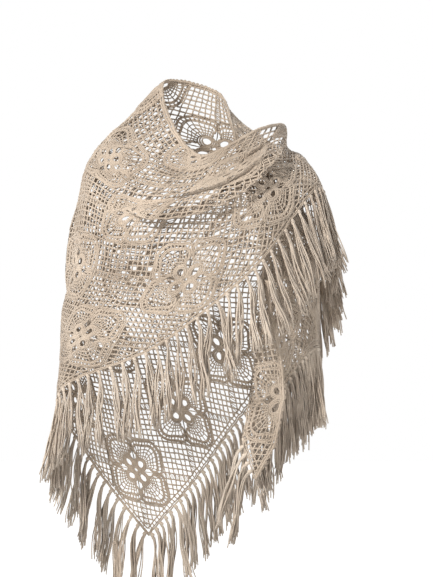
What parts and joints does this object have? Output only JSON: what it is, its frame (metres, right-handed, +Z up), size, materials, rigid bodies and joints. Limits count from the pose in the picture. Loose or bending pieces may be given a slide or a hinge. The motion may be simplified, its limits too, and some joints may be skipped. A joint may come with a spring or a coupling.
{
  "type": "lace shawl",
  "caption": "Triangular crocheted lace shawl with flower motifs and a long fringe, in its draped, worn shape with one end thrown over a shoulder.",
  "frame": {"origin": "base of the neck, midway between the shoulders that hold the shawl up", "axes": "+Z up, +X to the viewer's right, -Y to the front"},
  "size_m": [0.5706, 0.3129, 1.0228],
  "materials": {
    "lace": "matt crocheted cotton",
    "fringe": "loose cotton yarn"
  },
  "bodies": {
    "root": {"cloth_back": "lace", "cloth_front": "lace", "cloth_left_throw": "lace", "cloth_left_side": "lace", "cloth_left_end": "lace", "fringe_back_right": "fringe", "fringe_front": "fringe", "fringe_left_throw": "fringe", "fringe_back_left": "fringe", "fringe_left_side": "fringe", "fringe_left_end": "fringe"}
  },
  "joints": []
}
